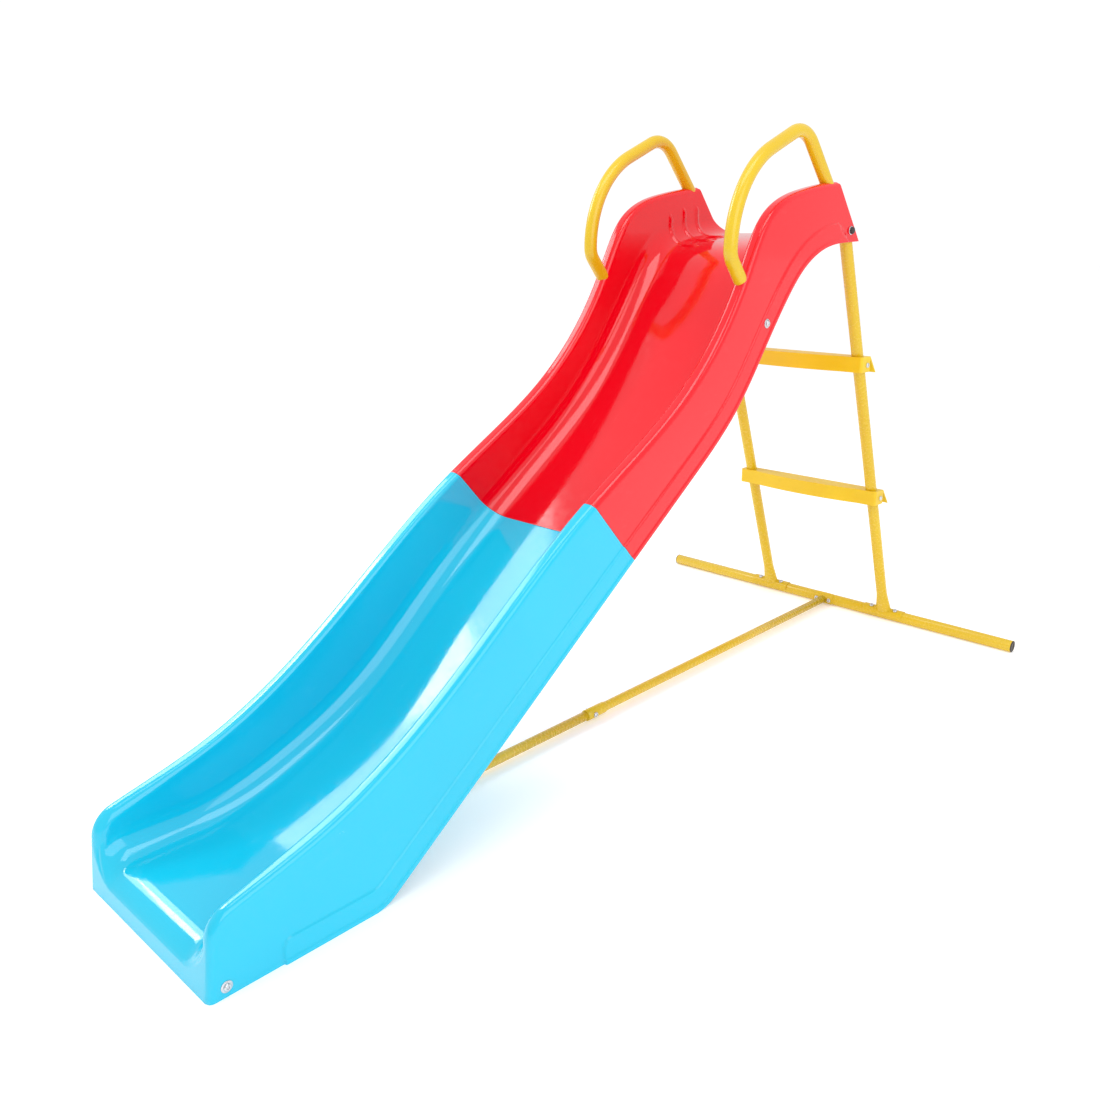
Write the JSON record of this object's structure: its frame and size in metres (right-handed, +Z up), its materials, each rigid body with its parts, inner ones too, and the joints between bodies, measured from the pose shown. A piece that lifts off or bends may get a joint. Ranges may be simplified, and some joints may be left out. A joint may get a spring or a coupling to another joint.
{
  "type": "children's straight slide",
  "caption": "Freestanding children's slide: two-section moulded chute with raised sides, curved grab handles, ladder with channel treads and a T-shaped floor frame.",
  "frame": {"origin": "on the floor at the middle of the overall footprint", "axes": "+X across the slide, +Y from the exit towards the ladder, +Z up"},
  "size_m": [0.964, 1.8615, 1.1214],
  "materials": {
    "chute_blue": "glossy moulded plastic",
    "chute_red": "glossy moulded plastic",
    "tube_paint": "satin powder coat",
    "tread_plastic": "satin moulded plastic",
    "zinc": "bright zinc plate",
    "cap_dark": "matt moulded plastic"
  },
  "bodies": {
    "root": {"chute_lower": "chute_blue", "chute_upper": "chute_red", "handle_left": "tube_paint", "handle_right": "tube_paint", "rear_ground_bar": "tube_paint", "end_caps": "cap_dark", "foot_saddle_left": "tube_paint", "foot_saddle_right": "tube_paint", "floor_bar_saddle": "tube_paint", "front_saddle": "tube_paint", "front_cross_tube": "tube_paint", "cross_tube_plugs": "cap_dark", "floor_bar_rear": "tube_paint", "floor_bar_front": "tube_paint", "ladder_leg_right": "tube_paint", "ladder_leg_left": "tube_paint", "tread_lower": "tread_plastic", "tread_upper": "tread_plastic", "tread_screws": "zinc", "foot_bolts": "zinc", "floor_bar_bolts": "zinc", "sleeve_bolt": "zinc", "sleeve_nut": "zinc", "front_bolts": "zinc", "handle_bolts": "zinc", "leg_bolts": "zinc", "bolt_caps": "cap_dark"}
  },
  "joints": []
}
